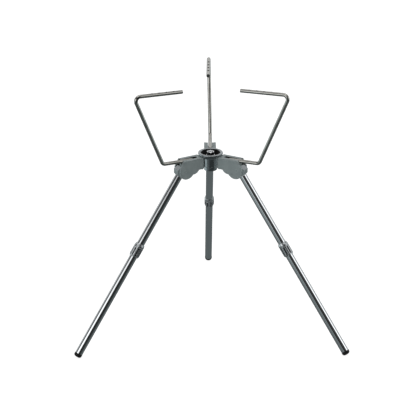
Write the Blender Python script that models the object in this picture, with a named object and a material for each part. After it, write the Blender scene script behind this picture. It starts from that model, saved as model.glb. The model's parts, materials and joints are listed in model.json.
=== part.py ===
"""Folding campfire tripod: a hub with three hinged legs and three hinged pot-support rods.

Lengths are in millimetres and are scaled to metres as meshes are made. The origin is the
centre of the flat end of the hub's bolt, level with the hub's rim. One arm is designed in its
own plane (X outwards from the hub, Z up) and is placed three times round the hub. The pieces
of a leg are turned about the leg's own axis, with t measured down the leg from its hinge.
"""

import math

import bmesh
import bpy
from mathutils import Matrix, Vector

MM = 0.001
GAP = 0.3                         # clearance kept between neighbouring pieces

# Arms
ARM_AZIMUTHS = {"rear": 90.0, "left": 210.0, "right": 330.0}

# Hub
RIM_RADIUS = 22.6
RIM_HEIGHT = 3.0
CUP_RADIUS = 18.3
CUP_FLOOR_RADIUS = 12.4
CUP_DEPTH = 8.0
BARREL_RADIUS = 12.3
BARREL_TOP_Z = -10.2
BARREL_SPLIT_Z = -27.2
HUB_BOTTOM_Z = -33.0
BOLT_RADIUS = 4.0
BOLT_HEAD_RADIUS = 6.8
BOLT_HEAD_HEIGHT = 3.0
NUT_ACROSS_FLATS = 13.0
NUT_HEIGHT = 6.5
BOLT_TOP_Z = 0.0
WASHER_RADIUS = 8.2
WASHER_THICKNESS = 1.2
LINER_THICKNESS = 0.9
KEYWAY_FLOOR_X = 8.0
KEYWAY_HALF_WIDTH = 2.5
KEYWAY_TOP_Z = -10.5

# Bracket
BRACKET_HALF_WIDTH = 11.2
BRACKET_ROOT_X = 23.0
BRACKET_END_X = 71.5
BRACKET_TOP_Z = -4.0
BRACKET_END_BOTTOM_Z = -30.0
LOBE_CENTRE = (57.6, -23.4)
LOBE_RADIUS = 16.6
SCALLOP_CENTRE = (43.0, -20.0)
SCALLOP_RADIUS = 13.0
NECK_TOP_Z = -4.2
NECK_BOTTOM_Z = -26.2
NECK_HALF_WIDTH = 2.8
TONGUE_HALF_WIDTH = 2.2
SLOT_HALF_WIDTH = 3.95
SLOT_START_X = 30.0
SLOT_FLOOR_Z = -12.5
WEB_START_X = 47.0
WEB_END_X = 62.0
WEB_UNDERSIDE_Z = -12.3
CAVITY_HALF_WIDTH = 7.8
CAVITY_START_X = 49.2
CHAMFER_START_X = 63.4
CHAMFER_END_Z = -17.5

# Leg
LEG_PIVOT = (60.4, -22.8)
LEG_ANGLE = 35.1                  # from the vertical, in degrees
LEG_PIN_RADIUS = 2.5
HEAD_HALF_WIDTH = 7.45
HEAD_KNUCKLE_RADIUS = 10.2
HEAD_SHOULDER_T = 14.0
TUBE_RADIUS = 7.2
TUBE_BORE_RADIUS = 6.3
PLUG_RADIUS = 6.0
HEAD_SPIGOT_LENGTH = 20.0
FERRULE_START_T = 146.0
FERRULE_FLANGE = 2.0
SPIGOT_START_T = 152.0
FERRULE_PLUG_LENGTH = 16.0
FOOT_PLUG_LENGTH = 15.0
UPPER_TUBE_END_T = 171.3
COLLAR_START_T = 159.6
COLLAR_END_T = 186.0
COLLAR_RADIUS = 9.5
COLLAR_NUT_BORE = 8.1
COLLAR_TUBE_OVERLAP = 1.5
FLUTES = 8
FLUTE_DEPTH = 0.55
THREAD_RADIUS = 7.8
SPIGOT_RADIUS = 4.5
FOOT_START_T = 395.0
FOOT_END_T = 401.8
FOOT_RADIUS = 7.45
FOOT_EDGE_RADIUS = 2.5
FLOOR_Z = -354.0

# Pot-support rod, as the corners of its centre line
ROD_RADIUS = 3.5
ROD_PIVOT = (43.0, -7.8)
ROD_LOW_BEND = (102.2, -4.5)
ROD_TOP_BEND = (161.1, 135.9)
ROD_TIP = (61.2, 129.2)
ROD_BEND_RADIUS = 8.0
ROD_PIN_RADIUS = 1.5
ROD_HOLE_RADIUS = 1.7
ROD_HOLE_FIRST_X = 80.0
ROD_HOLE_SPACING = 15.0
ROD_HOLES = 4

HUB_SEGMENTS = 32
TUBE_SEGMENTS = 20
PIN_SEGMENTS = 12
HOLE_SEGMENTS = 12
ROD_BEVEL_RESOLUTION = 4          # makes a 12-sided bar


def clear_scene():
    for thing in list(bpy.data.objects):
        bpy.data.objects.remove(thing)


def material(name, colour, roughness, metallic):
    made = bpy.data.materials.new(name)
    made.use_nodes = True
    shader = made.node_tree.nodes["Principled BSDF"]
    shader.inputs["Base Color"].default_value = (*colour, 1.0)
    shader.inputs["Roughness"].default_value = roughness
    shader.inputs["Metallic"].default_value = metallic
    made.diffuse_color = (*colour, 1.0)
    return made


def empty(name, parent=None, location=(0, 0, 0), azimuth=0.0, tilt=0.0):
    made = bpy.data.objects.new(name, None)
    bpy.context.collection.objects.link(made)
    made.parent = parent
    made.location = Vector(location) * MM
    made.rotation_euler = (0.0, math.radians(tilt), math.radians(azimuth))
    return made


def finished_mesh(bm, name):
    """Turns a bmesh in millimetres into a mesh in metres, with outward faces."""
    bmesh.ops.recalc_face_normals(bm, faces=bm.faces)
    bmesh.ops.scale(bm, vec=(MM, MM, MM), verts=bm.verts)
    mesh = bpy.data.meshes.new(name)
    bm.to_mesh(mesh)
    bm.free()
    return mesh


def add_object(name, mesh, finish, parent=None, location=(0, 0, 0), tilt=0.0):
    mesh.shade_smooth()
    mesh.set_sharp_from_angle(angle=math.radians(32))
    if not mesh.materials:
        mesh.materials.append(finish)
    made = bpy.data.objects.new(name, mesh)
    bpy.context.collection.objects.link(made)
    made.parent = parent
    made.location = Vector(location) * MM
    made.rotation_euler.y = math.radians(tilt)
    return made


def turned(profile, segments, solid):
    """Spins (radius, height) points about Z. A solid profile starts and ends on the axis."""
    bm = bmesh.new()
    points = [bm.verts.new((radius, 0.0, height)) for radius, height in profile]
    pairs = list(zip(points, points[1:]))
    if not solid:
        pairs.append((points[-1], points[0]))
    edges = [bm.edges.new(pair) for pair in pairs]
    bmesh.ops.spin(
        bm, geom=points + edges, cent=(0, 0, 0), axis=(0, 0, 1),
        angle=math.tau, steps=segments, use_merge=True,
    )
    bmesh.ops.remove_doubles(bm, verts=bm.verts, dist=0.001)
    return bm


def down_the_leg(profile):
    """(radius, t) points as (radius, height) points, with the leg running down -Z."""
    return [(radius, -t) for radius, t in profile]


def arc(centre, radius, start, end, steps):
    """Points on an arc, with angles in degrees, both ends included."""
    angles = [math.radians(start + (end - start) * i / steps) for i in range(steps + 1)]
    return [(centre[0] + radius * math.cos(a), centre[1] + radius * math.sin(a)) for a in angles]


def plate(outline, half_width):
    """A closed outline in the XZ plane, extruded along Y to both sides."""
    bm = bmesh.new()
    face = bm.faces.new([bm.verts.new((x, -half_width, z)) for x, z in outline])
    swept = bmesh.ops.extrude_face_region(bm, geom=[face])
    moved = [item for item in swept["geom"] if isinstance(item, bmesh.types.BMVert)]
    bmesh.ops.translate(bm, vec=(0, 2 * half_width, 0), verts=moved)
    return bm


def cylinder(radius, start, end, segments):
    """A round bar between two points."""
    start, end = Vector(start), Vector(end)
    bm = bmesh.new()
    turn = (end - start).to_track_quat("Z", "Y").to_matrix().to_4x4()
    bmesh.ops.create_cone(
        bm, cap_ends=True, segments=segments, radius1=radius, radius2=radius,
        depth=(end - start).length, matrix=Matrix.Translation((start + end) / 2) @ turn,
    )
    return bm


def cross_bar(radius, x, z, half_length, segments):
    return cylinder(radius, (x, -half_length, z), (x, half_length, z), segments)


def combined(base, added=(), removed=()):
    """The base bmesh with others joined to it and cut from it, as one mesh."""
    body = bpy.data.objects.new("working_body", finished_mesh(base, "working_body"))
    bpy.context.collection.objects.link(body)
    tools = []
    for operation, others in (("UNION", added), ("DIFFERENCE", removed)):
        for other in others:
            tool = bpy.data.objects.new("working_tool", finished_mesh(other, "working_tool"))
            bpy.context.collection.objects.link(tool)
            change = body.modifiers.new("shape", "BOOLEAN")
            change.operation = operation
            change.object = tool
            tools.append(tool)
    bpy.context.view_layer.update()
    result = bpy.data.meshes.new_from_object(
        body.evaluated_get(bpy.context.evaluated_depsgraph_get())
    )
    for thing in [*tools, body]:
        bpy.data.objects.remove(thing)
    result.materials.clear()
    return result


def hub_pieces(finishes):
    bore = BOLT_RADIUS + GAP
    body = turned([
        (bore, -CUP_DEPTH), (CUP_FLOOR_RADIUS, -CUP_DEPTH), (CUP_RADIUS, 0.0),
        (RIM_RADIUS - 0.6, 0.0), (RIM_RADIUS, -0.6), (RIM_RADIUS, -RIM_HEIGHT),
        (BARREL_RADIUS, BARREL_TOP_Z), (BARREL_RADIUS, BARREL_SPLIT_Z), (bore, BARREL_SPLIT_Z),
    ], HUB_SEGMENTS, solid=False)
    keyways = []
    for azimuth in ARM_AZIMUTHS.values():
        keyway = plate([
            (KEYWAY_FLOOR_X, KEYWAY_TOP_Z), (BARREL_RADIUS + 2, KEYWAY_TOP_Z),
            (BARREL_RADIUS + 2, BARREL_SPLIT_Z - 2), (KEYWAY_FLOOR_X, BARREL_SPLIT_Z - 2),
        ], KEYWAY_HALF_WIDTH)
        turn = Matrix.Rotation(math.radians(azimuth), 3, "Z")
        bmesh.ops.rotate(keyway, cent=(0, 0, 0), matrix=turn, verts=keyway.verts)
        keyways.append(keyway)
    add_object("hub_body", combined(body, removed=keyways), finishes["gunmetal"])

    seat_z = HUB_BOTTOM_Z + BOLT_HEAD_HEIGHT + 0.4
    base = turned([
        (bore, BARREL_SPLIT_Z - GAP), (BARREL_RADIUS, BARREL_SPLIT_Z - GAP),
        (BARREL_RADIUS, HUB_BOTTOM_Z + 1.0), (BARREL_RADIUS - 1.0, HUB_BOTTOM_Z),
        (BOLT_HEAD_RADIUS + 0.4, HUB_BOTTOM_Z), (BOLT_HEAD_RADIUS + 0.4, seat_z), (bore, seat_z),
    ], HUB_SEGMENTS, solid=False)
    add_object("hub_base_plate", finished_mesh(base, "hub_base_plate"), finishes["gunmetal"])

    head_top_z = seat_z - GAP
    bolt = turned([
        (0.0, head_top_z - BOLT_HEAD_HEIGHT), (BOLT_HEAD_RADIUS - 0.8, head_top_z - BOLT_HEAD_HEIGHT),
        (BOLT_HEAD_RADIUS, head_top_z - BOLT_HEAD_HEIGHT + 0.8), (BOLT_HEAD_RADIUS, head_top_z),
        (BOLT_RADIUS, head_top_z), (BOLT_RADIUS, BOLT_TOP_Z - 0.5), (BOLT_RADIUS - 0.5, BOLT_TOP_Z),
        (0.0, BOLT_TOP_Z),
    ], TUBE_SEGMENTS, solid=True)
    add_object("hub_bolt", finished_mesh(bolt, "hub_bolt"), finishes["steel"])

    liner_z = -CUP_DEPTH + GAP
    slope = (CUP_RADIUS - CUP_FLOOR_RADIUS) / CUP_DEPTH
    outer_floor = CUP_FLOOR_RADIUS - 0.4
    liner = turned([
        (bore, liner_z), (outer_floor, liner_z), (outer_floor + slope * (-liner_z - GAP), -GAP),
        (outer_floor + slope * (-liner_z - GAP) - 1.1, -GAP),
        (outer_floor - 0.6, liner_z + LINER_THICKNESS), (bore, liner_z + LINER_THICKNESS),
    ], HUB_SEGMENTS, solid=False)
    add_object("hub_cup_liner", finished_mesh(liner, "hub_cup_liner"), finishes["black"])

    washer_z = liner_z + LINER_THICKNESS + GAP
    washer = turned([
        (bore, washer_z), (WASHER_RADIUS, washer_z),
        (WASHER_RADIUS, washer_z + WASHER_THICKNESS), (bore, washer_z + WASHER_THICKNESS),
    ], TUBE_SEGMENTS, solid=False)
    add_object("hub_washer", finished_mesh(washer, "hub_washer"), finishes["steel"])

    nut_z = washer_z + WASHER_THICKNESS + GAP
    corner_radius = NUT_ACROSS_FLATS / math.sqrt(3)
    nut = bmesh.new()
    bmesh.ops.create_cone(
        nut, cap_ends=True, segments=6, radius1=corner_radius, radius2=corner_radius,
        depth=NUT_HEIGHT, matrix=Matrix.Translation((0, 0, nut_z + NUT_HEIGHT / 2)),
    )
    thread_hole = cylinder(bore, (0, 0, nut_z - 2), (0, 0, nut_z + NUT_HEIGHT + 2), TUBE_SEGMENTS)
    add_object("hub_nut", combined(nut, removed=[thread_hole]), finishes["steel"])


def bracket_outline():
    """The side view: flat top, chamfered outer corner and a scalloped lower edge."""
    return [
        (BRACKET_ROOT_X, BRACKET_TOP_Z), (CHAMFER_START_X, BRACKET_TOP_Z),
        (BRACKET_END_X, CHAMFER_END_Z), (BRACKET_END_X, BRACKET_END_BOTTOM_Z),
        *arc(LOBE_CENTRE, LOBE_RADIUS, -45.0, -145.0, 10),
        *arc(SCALLOP_CENTRE, SCALLOP_RADIUS, -86.0, -152.0, 6),
        (BRACKET_ROOT_X + 4, NECK_BOTTOM_Z + 0.4), (BRACKET_ROOT_X, NECK_BOTTOM_Z - 0.4),
    ]


def rod_axis_z(x):
    """Height of the rod's centre line in its slot."""
    slope = (ROD_LOW_BEND[1] - ROD_PIVOT[1]) / (ROD_LOW_BEND[0] - ROD_PIVOT[0])
    return ROD_PIVOT[1] + slope * (x - ROD_PIVOT[0])


def bracket_mesh():
    tongue_top = KEYWAY_TOP_Z - GAP
    tongue_bottom = BARREL_SPLIT_Z + 2 * GAP
    neck_start = BARREL_RADIUS + GAP
    inside = BRACKET_ROOT_X + 1.0
    neck = plate([
        (neck_start, tongue_top), (BRACKET_ROOT_X - 0.4, NECK_TOP_Z), (inside, NECK_TOP_Z),
        (inside, NECK_BOTTOM_Z), (neck_start, tongue_bottom),
    ], NECK_HALF_WIDTH)
    tongue = plate([
        (KEYWAY_FLOOR_X + GAP, tongue_top - 0.1), (neck_start + 1, tongue_top - 0.1),
        (neck_start + 1, tongue_bottom + 0.1), (KEYWAY_FLOOR_X + GAP, tongue_bottom + 0.1),
    ], TONGUE_HALF_WIDTH)
    above = BRACKET_TOP_Z + 6
    below = LOBE_CENTRE[1] - LOBE_RADIUS - 5
    beyond = BRACKET_END_X + 5
    rest_drop = ROD_RADIUS + GAP
    slot = plate([
        (SLOT_START_X, above), (beyond, above), (beyond, WEB_UNDERSIDE_Z - 0.5),
        (WEB_END_X, WEB_UNDERSIDE_Z - 0.5), (WEB_END_X, rod_axis_z(WEB_END_X) - rest_drop),
        (WEB_START_X, rod_axis_z(WEB_START_X) - rest_drop), (WEB_START_X, SLOT_FLOOR_Z),
        (SLOT_START_X, SLOT_FLOOR_Z),
    ], SLOT_HALF_WIDTH)
    cavity = plate([
        (CAVITY_START_X, WEB_UNDERSIDE_Z), (WEB_END_X + GAP, WEB_UNDERSIDE_Z),
        (WEB_END_X + GAP, above + 1), (beyond + 1, above + 1), (beyond + 1, below),
        (CAVITY_START_X, below),
    ], CAVITY_HALF_WIDTH)
    through = BRACKET_HALF_WIDTH + 2
    leg_hole = cross_bar(LEG_PIN_RADIUS + GAP, *LEG_PIVOT, through, PIN_SEGMENTS)
    rod_hole = cross_bar(ROD_PIN_RADIUS + GAP, *ROD_PIVOT, through, HOLE_SEGMENTS)
    return combined(
        plate(bracket_outline(), BRACKET_HALF_WIDTH), added=[neck, tongue],
        removed=[slot, cavity, leg_hole, rod_hole],
    )


def leg_direction():
    return Vector((math.sin(math.radians(LEG_ANGLE)), 0, -math.cos(math.radians(LEG_ANGLE))))


def leg_head_mesh():
    """The knuckle on the hinge, with a step that ends flush with the bracket, and a spigot."""
    along = leg_direction()
    across = Vector((-along.z, 0, along.x))
    shoulder = along * HEAD_SHOULDER_T
    outer = shoulder + across * TUBE_RADIUS
    inner = shoulder - across * TUBE_RADIUS
    end_x = BRACKET_END_X - LEG_PIVOT[0]
    step_x = WEB_END_X + GAP - LEG_PIVOT[0]
    step_z = CHAMFER_END_Z - LEG_PIVOT[1]
    body = plate([
        (end_x, step_z), (step_x + GAP, step_z), (step_x + GAP, HEAD_KNUCKLE_RADIUS),
        *arc((0, 0), HEAD_KNUCKLE_RADIUS, 90.0, 225.0, 10),
        (inner.x, inner.z), (outer.x, outer.z), (end_x, outer.z + 2.4),
    ], HEAD_HALF_WIDTH)
    spigot_start, spigot_end = HEAD_SHOULDER_T - 4, HEAD_SHOULDER_T + HEAD_SPIGOT_LENGTH
    spigot = cylinder(PLUG_RADIUS, along * spigot_start, along * spigot_end, TUBE_SEGMENTS)
    hole = cross_bar(LEG_PIN_RADIUS + GAP, 0, 0, HEAD_HALF_WIDTH + 2, PIN_SEGMENTS)
    return combined(body, added=[spigot], removed=[hole])


def tube_mesh(name, start_t, end_t):
    profile = [(TUBE_BORE_RADIUS, start_t), (TUBE_RADIUS, start_t),
               (TUBE_RADIUS, end_t), (TUBE_BORE_RADIUS, end_t)]
    return finished_mesh(turned(down_the_leg(profile), TUBE_SEGMENTS, solid=False), name)


def upper_ferrule_mesh():
    """Pressed in the upper tube, with a flange that the collar turns on and pulls against."""
    bore = SPIGOT_RADIUS + GAP
    flange_t = UPPER_TUBE_END_T + GAP
    profile = [
        (bore, FERRULE_START_T), (PLUG_RADIUS, FERRULE_START_T), (PLUG_RADIUS, flange_t),
        (THREAD_RADIUS, flange_t), (THREAD_RADIUS, flange_t + FERRULE_FLANGE),
        (bore, flange_t + FERRULE_FLANGE),
    ]
    bm = turned(down_the_leg(profile), TUBE_SEGMENTS, solid=False)
    return finished_mesh(bm, "upper_ferrule")


def lower_ferrule_mesh(tube_start_t):
    """Slides in the upper ferrule, is threaded where the collar grips it, plugs the lower tube."""
    thread_t = UPPER_TUBE_END_T + FERRULE_FLANGE + 2 * GAP
    thread_end_t = tube_start_t - GAP
    profile = [
        (0.0, SPIGOT_START_T), (SPIGOT_RADIUS, SPIGOT_START_T), (SPIGOT_RADIUS, thread_t),
        (THREAD_RADIUS, thread_t), (THREAD_RADIUS, thread_end_t), (PLUG_RADIUS, thread_end_t),
        (PLUG_RADIUS, thread_end_t + FERRULE_PLUG_LENGTH),
        (0.0, thread_end_t + FERRULE_PLUG_LENGTH),
    ]
    bm = turned(down_the_leg(profile), TUBE_SEGMENTS, solid=True)
    return finished_mesh(bm, "lower_ferrule")


def collar_mesh():
    """A union nut: a smooth ring at the top, lengthwise flutes and a cone at the bottom."""
    lip = TUBE_RADIUS + GAP
    flutes_start_t, flutes_end_t = COLLAR_START_T + 7.8, COLLAR_END_T - 4.0
    profile = [
        (lip, COLLAR_START_T), (lip + 0.7, COLLAR_START_T),
        (COLLAR_RADIUS, COLLAR_START_T + 4.0), (COLLAR_RADIUS, COLLAR_START_T + 6.6),
        (COLLAR_RADIUS - 0.4, COLLAR_START_T + 7.0), (COLLAR_RADIUS, flutes_start_t),
        (COLLAR_RADIUS, flutes_end_t), (COLLAR_NUT_BORE + 0.6, COLLAR_END_T),
        (COLLAR_NUT_BORE, COLLAR_END_T), (COLLAR_NUT_BORE, UPPER_TUBE_END_T),
        (lip, UPPER_TUBE_END_T),
    ]
    columns = 5 * FLUTES              # three columns of ridge, then the two edges of a groove
    bm = turned(down_the_leg(profile), columns, solid=False)
    for vert in bm.verts:
        radius = math.hypot(vert.co.x, vert.co.y)
        t = -vert.co.z
        fluted = radius > COLLAR_RADIUS - 0.01 and flutes_start_t - 0.01 < t < flutes_end_t + 0.01
        column = round(math.atan2(vert.co.y, vert.co.x) / math.tau * columns) % 5
        if fluted and column in (2, 3):
            vert.co.xy *= (COLLAR_RADIUS - FLUTE_DEPTH) / COLLAR_RADIUS
    return finished_mesh(bm, "collar")


def foot_cap_mesh():
    """A plug and a rounded rubber tip, cut flat where it stands on the ground."""
    edge_centre = (FOOT_RADIUS - FOOT_EDGE_RADIUS, FOOT_END_T - FOOT_EDGE_RADIUS)
    plug_start_t = FOOT_START_T - FOOT_PLUG_LENGTH
    profile = [
        (0.0, plug_start_t), (PLUG_RADIUS - 0.6, plug_start_t),
        (PLUG_RADIUS, plug_start_t + 1.0), (PLUG_RADIUS, FOOT_START_T),
        (FOOT_RADIUS, FOOT_START_T), *arc(edge_centre, FOOT_EDGE_RADIUS, 0.0, 90.0, 3),
        (0.0, FOOT_END_T),
    ]
    bm = turned(down_the_leg(profile), TUBE_SEGMENTS, solid=True)
    down = Matrix.Rotation(math.radians(LEG_ANGLE), 3, "Y") @ Vector((0, 0, -1))
    cut = bmesh.ops.bisect_plane(
        bm, geom=[*bm.verts, *bm.edges, *bm.faces], plane_co=down * (LEG_PIVOT[1] - FLOOR_Z),
        plane_no=down, clear_outer=True,
    )
    rim = [item for item in cut["geom_cut"] if isinstance(item, bmesh.types.BMEdge)]
    bmesh.ops.edgeloop_fill(bm, edges=rim)
    return finished_mesh(bm, "foot_cap")


def rounded_corner(before, corner, after, radius, steps):
    """The arc that replaces a corner of the rod's centre line."""
    corner = Vector(corner)
    first = (Vector(before) - corner).normalized()
    second = (Vector(after) - corner).normalized()
    half = first.angle(second) / 2
    centre = corner + (first + second).normalized() * radius / math.sin(half)
    start = corner + first * radius / math.tan(half) - centre
    end = corner + second * radius / math.tan(half) - centre
    sweep = start.angle_signed(end)
    return [centre + Matrix.Rotation(-sweep * i / steps, 2) @ start for i in range(steps + 1)]


def rod_mesh():
    """A bent bar with a rounded inner end on its hinge, and holes down its top stretch."""
    pivot = Vector(ROD_PIVOT)
    inner = (pivot - Vector(ROD_LOW_BEND)).normalized()
    dome_centre = pivot + inner
    line = []
    for degrees in (75, 50, 25, 0):
        turn = math.radians(degrees)
        line.append((dome_centre + inner * ROD_RADIUS * math.sin(turn), math.cos(turn)))
    line += [(p, 1.0) for p in
             rounded_corner(ROD_PIVOT, ROD_LOW_BEND, ROD_TOP_BEND, ROD_BEND_RADIUS, 5)]
    line += [(p, 1.0) for p in
             rounded_corner(ROD_LOW_BEND, ROD_TOP_BEND, ROD_TIP, ROD_BEND_RADIUS, 7)]
    top_run = (Vector(ROD_TIP) - Vector(ROD_TOP_BEND)).normalized()
    line += [(Vector(ROD_TIP) - top_run * 0.5, 1.0), (Vector(ROD_TIP), 0.84)]

    curve = bpy.data.curves.new("rod_line", "CURVE")
    curve.dimensions = "3D"
    curve.bevel_depth = ROD_RADIUS * MM
    curve.bevel_resolution = ROD_BEVEL_RESOLUTION
    curve.use_fill_caps = True
    spline = curve.splines.new("POLY")
    spline.points.add(len(line) - 1)
    for point, (place, share) in zip(spline.points, line):
        point.co = ((place.x - pivot.x) * MM, 0.0, (place.y - pivot.y) * MM, 1.0)
        point.radius = share
    guide = bpy.data.objects.new("rod_line", curve)
    bpy.context.collection.objects.link(guide)
    bpy.context.view_layer.update()
    swept = guide.evaluated_get(bpy.context.evaluated_depsgraph_get()).to_mesh()
    bar = bmesh.new()
    bar.from_mesh(swept)
    bpy.data.objects.remove(guide)
    bmesh.ops.remove_doubles(bar, verts=bar.verts, dist=1e-6)
    bmesh.ops.scale(bar, vec=(1 / MM, 1 / MM, 1 / MM), verts=bar.verts)

    holes = [cross_bar(ROD_PIN_RADIUS + GAP, 0, 0, ROD_RADIUS + 2, HOLE_SEGMENTS)]
    across = Vector((-top_run.y, 0, top_run.x))
    for number in range(ROD_HOLES):
        reach = (ROD_TIP[0] - ROD_HOLE_FIRST_X - number * ROD_HOLE_SPACING) / top_run.x
        place = Vector(ROD_TIP) - top_run * reach - pivot
        middle = Vector((place.x, 0, place.y))
        holes.append(cylinder(ROD_HOLE_RADIUS, middle - across * 5, middle + across * 5,
                              HOLE_SEGMENTS))
    return combined(bar, removed=holes)


def pin_mesh(name, radius, half_length):
    profile = [
        (0.0, -half_length), (radius - 0.3, -half_length), (radius, -half_length + 0.3),
        (radius, half_length - 0.3), (radius - 0.3, half_length), (0.0, half_length),
    ]
    bm = turned(profile, PIN_SEGMENTS, solid=True)
    bmesh.ops.rotate(bm, cent=(0, 0, 0), matrix=Matrix.Rotation(math.pi / 2, 3, "X"),
                     verts=bm.verts)
    return finished_mesh(bm, name)


def main():
    clear_scene()
    finishes = {
        "gunmetal": material("gunmetal_paint", (0.10, 0.11, 0.12), 0.28, 0.9),
        "casting": material("grey_casting", (0.20, 0.24, 0.24), 0.5, 0.5),
        "tube": material("polished_tube", (0.62, 0.64, 0.65), 0.14, 1.0),
        "rod": material("rod_steel", (0.58, 0.57, 0.56), 0.22, 1.0),
        "collar": material("collar_metal", (0.24, 0.26, 0.27), 0.24, 1.0),
        "steel": material("bright_fastener", (0.7, 0.71, 0.72), 0.25, 1.0),
        "rubber": material("foot_rubber", (0.015, 0.015, 0.016), 0.6, 0.0),
        "black": material("liner_black", (0.01, 0.01, 0.012), 0.45, 0.0),
    }
    hub_pieces(finishes)

    lower_tube_start = COLLAR_END_T - COLLAR_TUBE_OVERLAP
    pin_half_length = BRACKET_HALF_WIDTH - 0.2
    shared = {
        "bracket": bracket_mesh(),
        "leg_pin": pin_mesh("leg_pin", LEG_PIN_RADIUS, pin_half_length),
        "rod_pin": pin_mesh("rod_pin", ROD_PIN_RADIUS, pin_half_length),
        "rod": rod_mesh(),
        "leg_head": leg_head_mesh(),
        "upper_tube": tube_mesh("upper_tube", HEAD_SHOULDER_T + GAP, UPPER_TUBE_END_T),
        "upper_ferrule": upper_ferrule_mesh(),
        "collar": collar_mesh(),
        "lower_ferrule": lower_ferrule_mesh(lower_tube_start),
        "lower_tube": tube_mesh("lower_tube", lower_tube_start, FOOT_START_T - GAP),
        "foot_cap": foot_cap_mesh(),
    }
    leg_finishes = {
        "upper_tube": "tube", "upper_ferrule": "steel", "collar": "collar",
        "lower_ferrule": "steel", "lower_tube": "tube", "foot_cap": "rubber",
    }
    leg_place = (LEG_PIVOT[0], 0, LEG_PIVOT[1])
    rod_place = (ROD_PIVOT[0], 0, ROD_PIVOT[1])
    for side, azimuth in ARM_AZIMUTHS.items():
        arm = empty(f"arm_{side}", azimuth=azimuth)
        add_object(f"bracket_{side}", shared["bracket"], finishes["casting"], arm)
        add_object(f"leg_pin_{side}", shared["leg_pin"], finishes["steel"], arm, leg_place)
        add_object(f"rod_pin_{side}", shared["rod_pin"], finishes["steel"], arm, rod_place)
        add_object(f"rod_{side}", shared["rod"], finishes["rod"], arm, rod_place)
        leg = empty(f"leg_{side}", arm, leg_place, tilt=-LEG_ANGLE)
        add_object(f"leg_head_{side}", shared["leg_head"], finishes["casting"], leg,
                   tilt=LEG_ANGLE)
        for piece, finish in leg_finishes.items():
            add_object(f"{piece}_{side}", shared[piece], finishes[finish], leg)


main()
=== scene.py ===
"""Looks for the folding campfire tripod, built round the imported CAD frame.

Shapes are drawn in millimetres and scaled to metres as meshes are made. One arm is drawn in its own
plane (X outwards from the hub, Z up) and is placed three times. The turned pieces of a leg are drawn
about the leg's axis, with t measured down the leg from its hinge.
"""

import json
import math

import bmesh
import bpy
from mathutils import Matrix, Vector


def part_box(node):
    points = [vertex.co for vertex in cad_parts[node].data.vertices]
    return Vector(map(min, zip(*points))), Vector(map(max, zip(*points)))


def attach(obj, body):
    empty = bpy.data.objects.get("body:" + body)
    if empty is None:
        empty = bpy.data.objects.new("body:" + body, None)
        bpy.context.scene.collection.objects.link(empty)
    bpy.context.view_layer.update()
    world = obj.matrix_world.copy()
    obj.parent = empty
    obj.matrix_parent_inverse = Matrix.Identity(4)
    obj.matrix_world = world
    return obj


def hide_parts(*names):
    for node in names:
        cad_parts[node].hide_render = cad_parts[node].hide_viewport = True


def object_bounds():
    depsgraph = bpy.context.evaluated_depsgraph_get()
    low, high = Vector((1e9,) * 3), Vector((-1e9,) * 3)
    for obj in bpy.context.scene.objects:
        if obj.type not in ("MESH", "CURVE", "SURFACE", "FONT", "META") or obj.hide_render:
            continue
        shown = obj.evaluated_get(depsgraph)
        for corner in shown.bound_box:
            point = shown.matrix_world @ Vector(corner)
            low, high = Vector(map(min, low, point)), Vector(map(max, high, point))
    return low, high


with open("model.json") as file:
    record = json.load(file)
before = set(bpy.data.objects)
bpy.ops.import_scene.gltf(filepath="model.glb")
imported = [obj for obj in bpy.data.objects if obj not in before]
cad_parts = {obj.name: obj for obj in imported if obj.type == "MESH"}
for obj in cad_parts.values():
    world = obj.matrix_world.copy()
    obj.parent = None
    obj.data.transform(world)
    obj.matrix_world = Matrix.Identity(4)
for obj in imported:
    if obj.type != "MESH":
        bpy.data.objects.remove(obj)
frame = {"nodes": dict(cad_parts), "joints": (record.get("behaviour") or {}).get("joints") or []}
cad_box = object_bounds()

MM = 0.001
SIDES = ("rear", "left", "right")
JOINTS = {joint["name"]: joint for joint in frame["joints"]}

# Bracket, in the arm's plane. Its outer size is read from the frame.
BRACKET_ROOT_X = 23.0
CHAMFER_START_X = 63.4
CHAMFER_END_Z = -17.5
BRACKET_END_BOTTOM_Z = -30.0
LOBE_CENTRE = (57.6, -23.4)
SCALLOP_CENTRE = (43.0, -20.0)
SCALLOP_RADIUS = 13.0
NECK_HALF_WIDTH = 1.5
TONGUE_HALF_WIDTH = 1.2
WEDGE_START_X = 17.5
WEDGE_HALF_WIDTH = 6.5
SLOT_HALF_WIDTH = 3.95
SLOT_START_X = 30.0
SLOT_FLOOR_Z = -12.5
WEB_START_X = 47.0
WEB_END_X = 62.0
WEB_UNDERSIDE_Z = -12.3
CAVITY_HALF_WIDTH = 7.8
CAVITY_START_X = 49.2
LEG_PIN_RADIUS = 2.5
ROD_PIN_RADIUS = 1.5
PIN_CLEARANCE = 0.06
EDGE_RADIUS = 0.5

# Hub
BORE_RADIUS = 4.3
CUP_RADIUS = 18.8
CUP_FLOOR_RADIUS = 12.4
CUP_DEPTH = 8.0
RIM_BOTTOM_Z = -3.0
BARREL_TOP_Z = -10.2
RIM_EXTRA = 0.5      # the rim's radius beyond the CAD one
BASE_EXTRA = 1.8     # the end cover's skirt below the CAD one
STUD_START_Z = -12.0

# Leg
HEAD_HALF_WIDTH = 7.45
HEAD_KNUCKLE_RADIUS = 10.2
HEAD_SHOULDER_T = 14.0
HEAD_NOSE = 3.6      # beyond the bracket's end
LEDGE_START_X = 67.6
LEDGE_TOP_Z = -15.2
LEDGE_LOW_Z = -20.3
SPIGOT_RADIUS = 6.1
TUBE_WALL = 0.9
FLUTES = 8
FLUTE_DEPTH = 0.9
FOOT_END_T = 401.8   # the rubber tip before the floor flattens it
FOOT_SHOWS = 6.8     # its length below the tube

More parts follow.
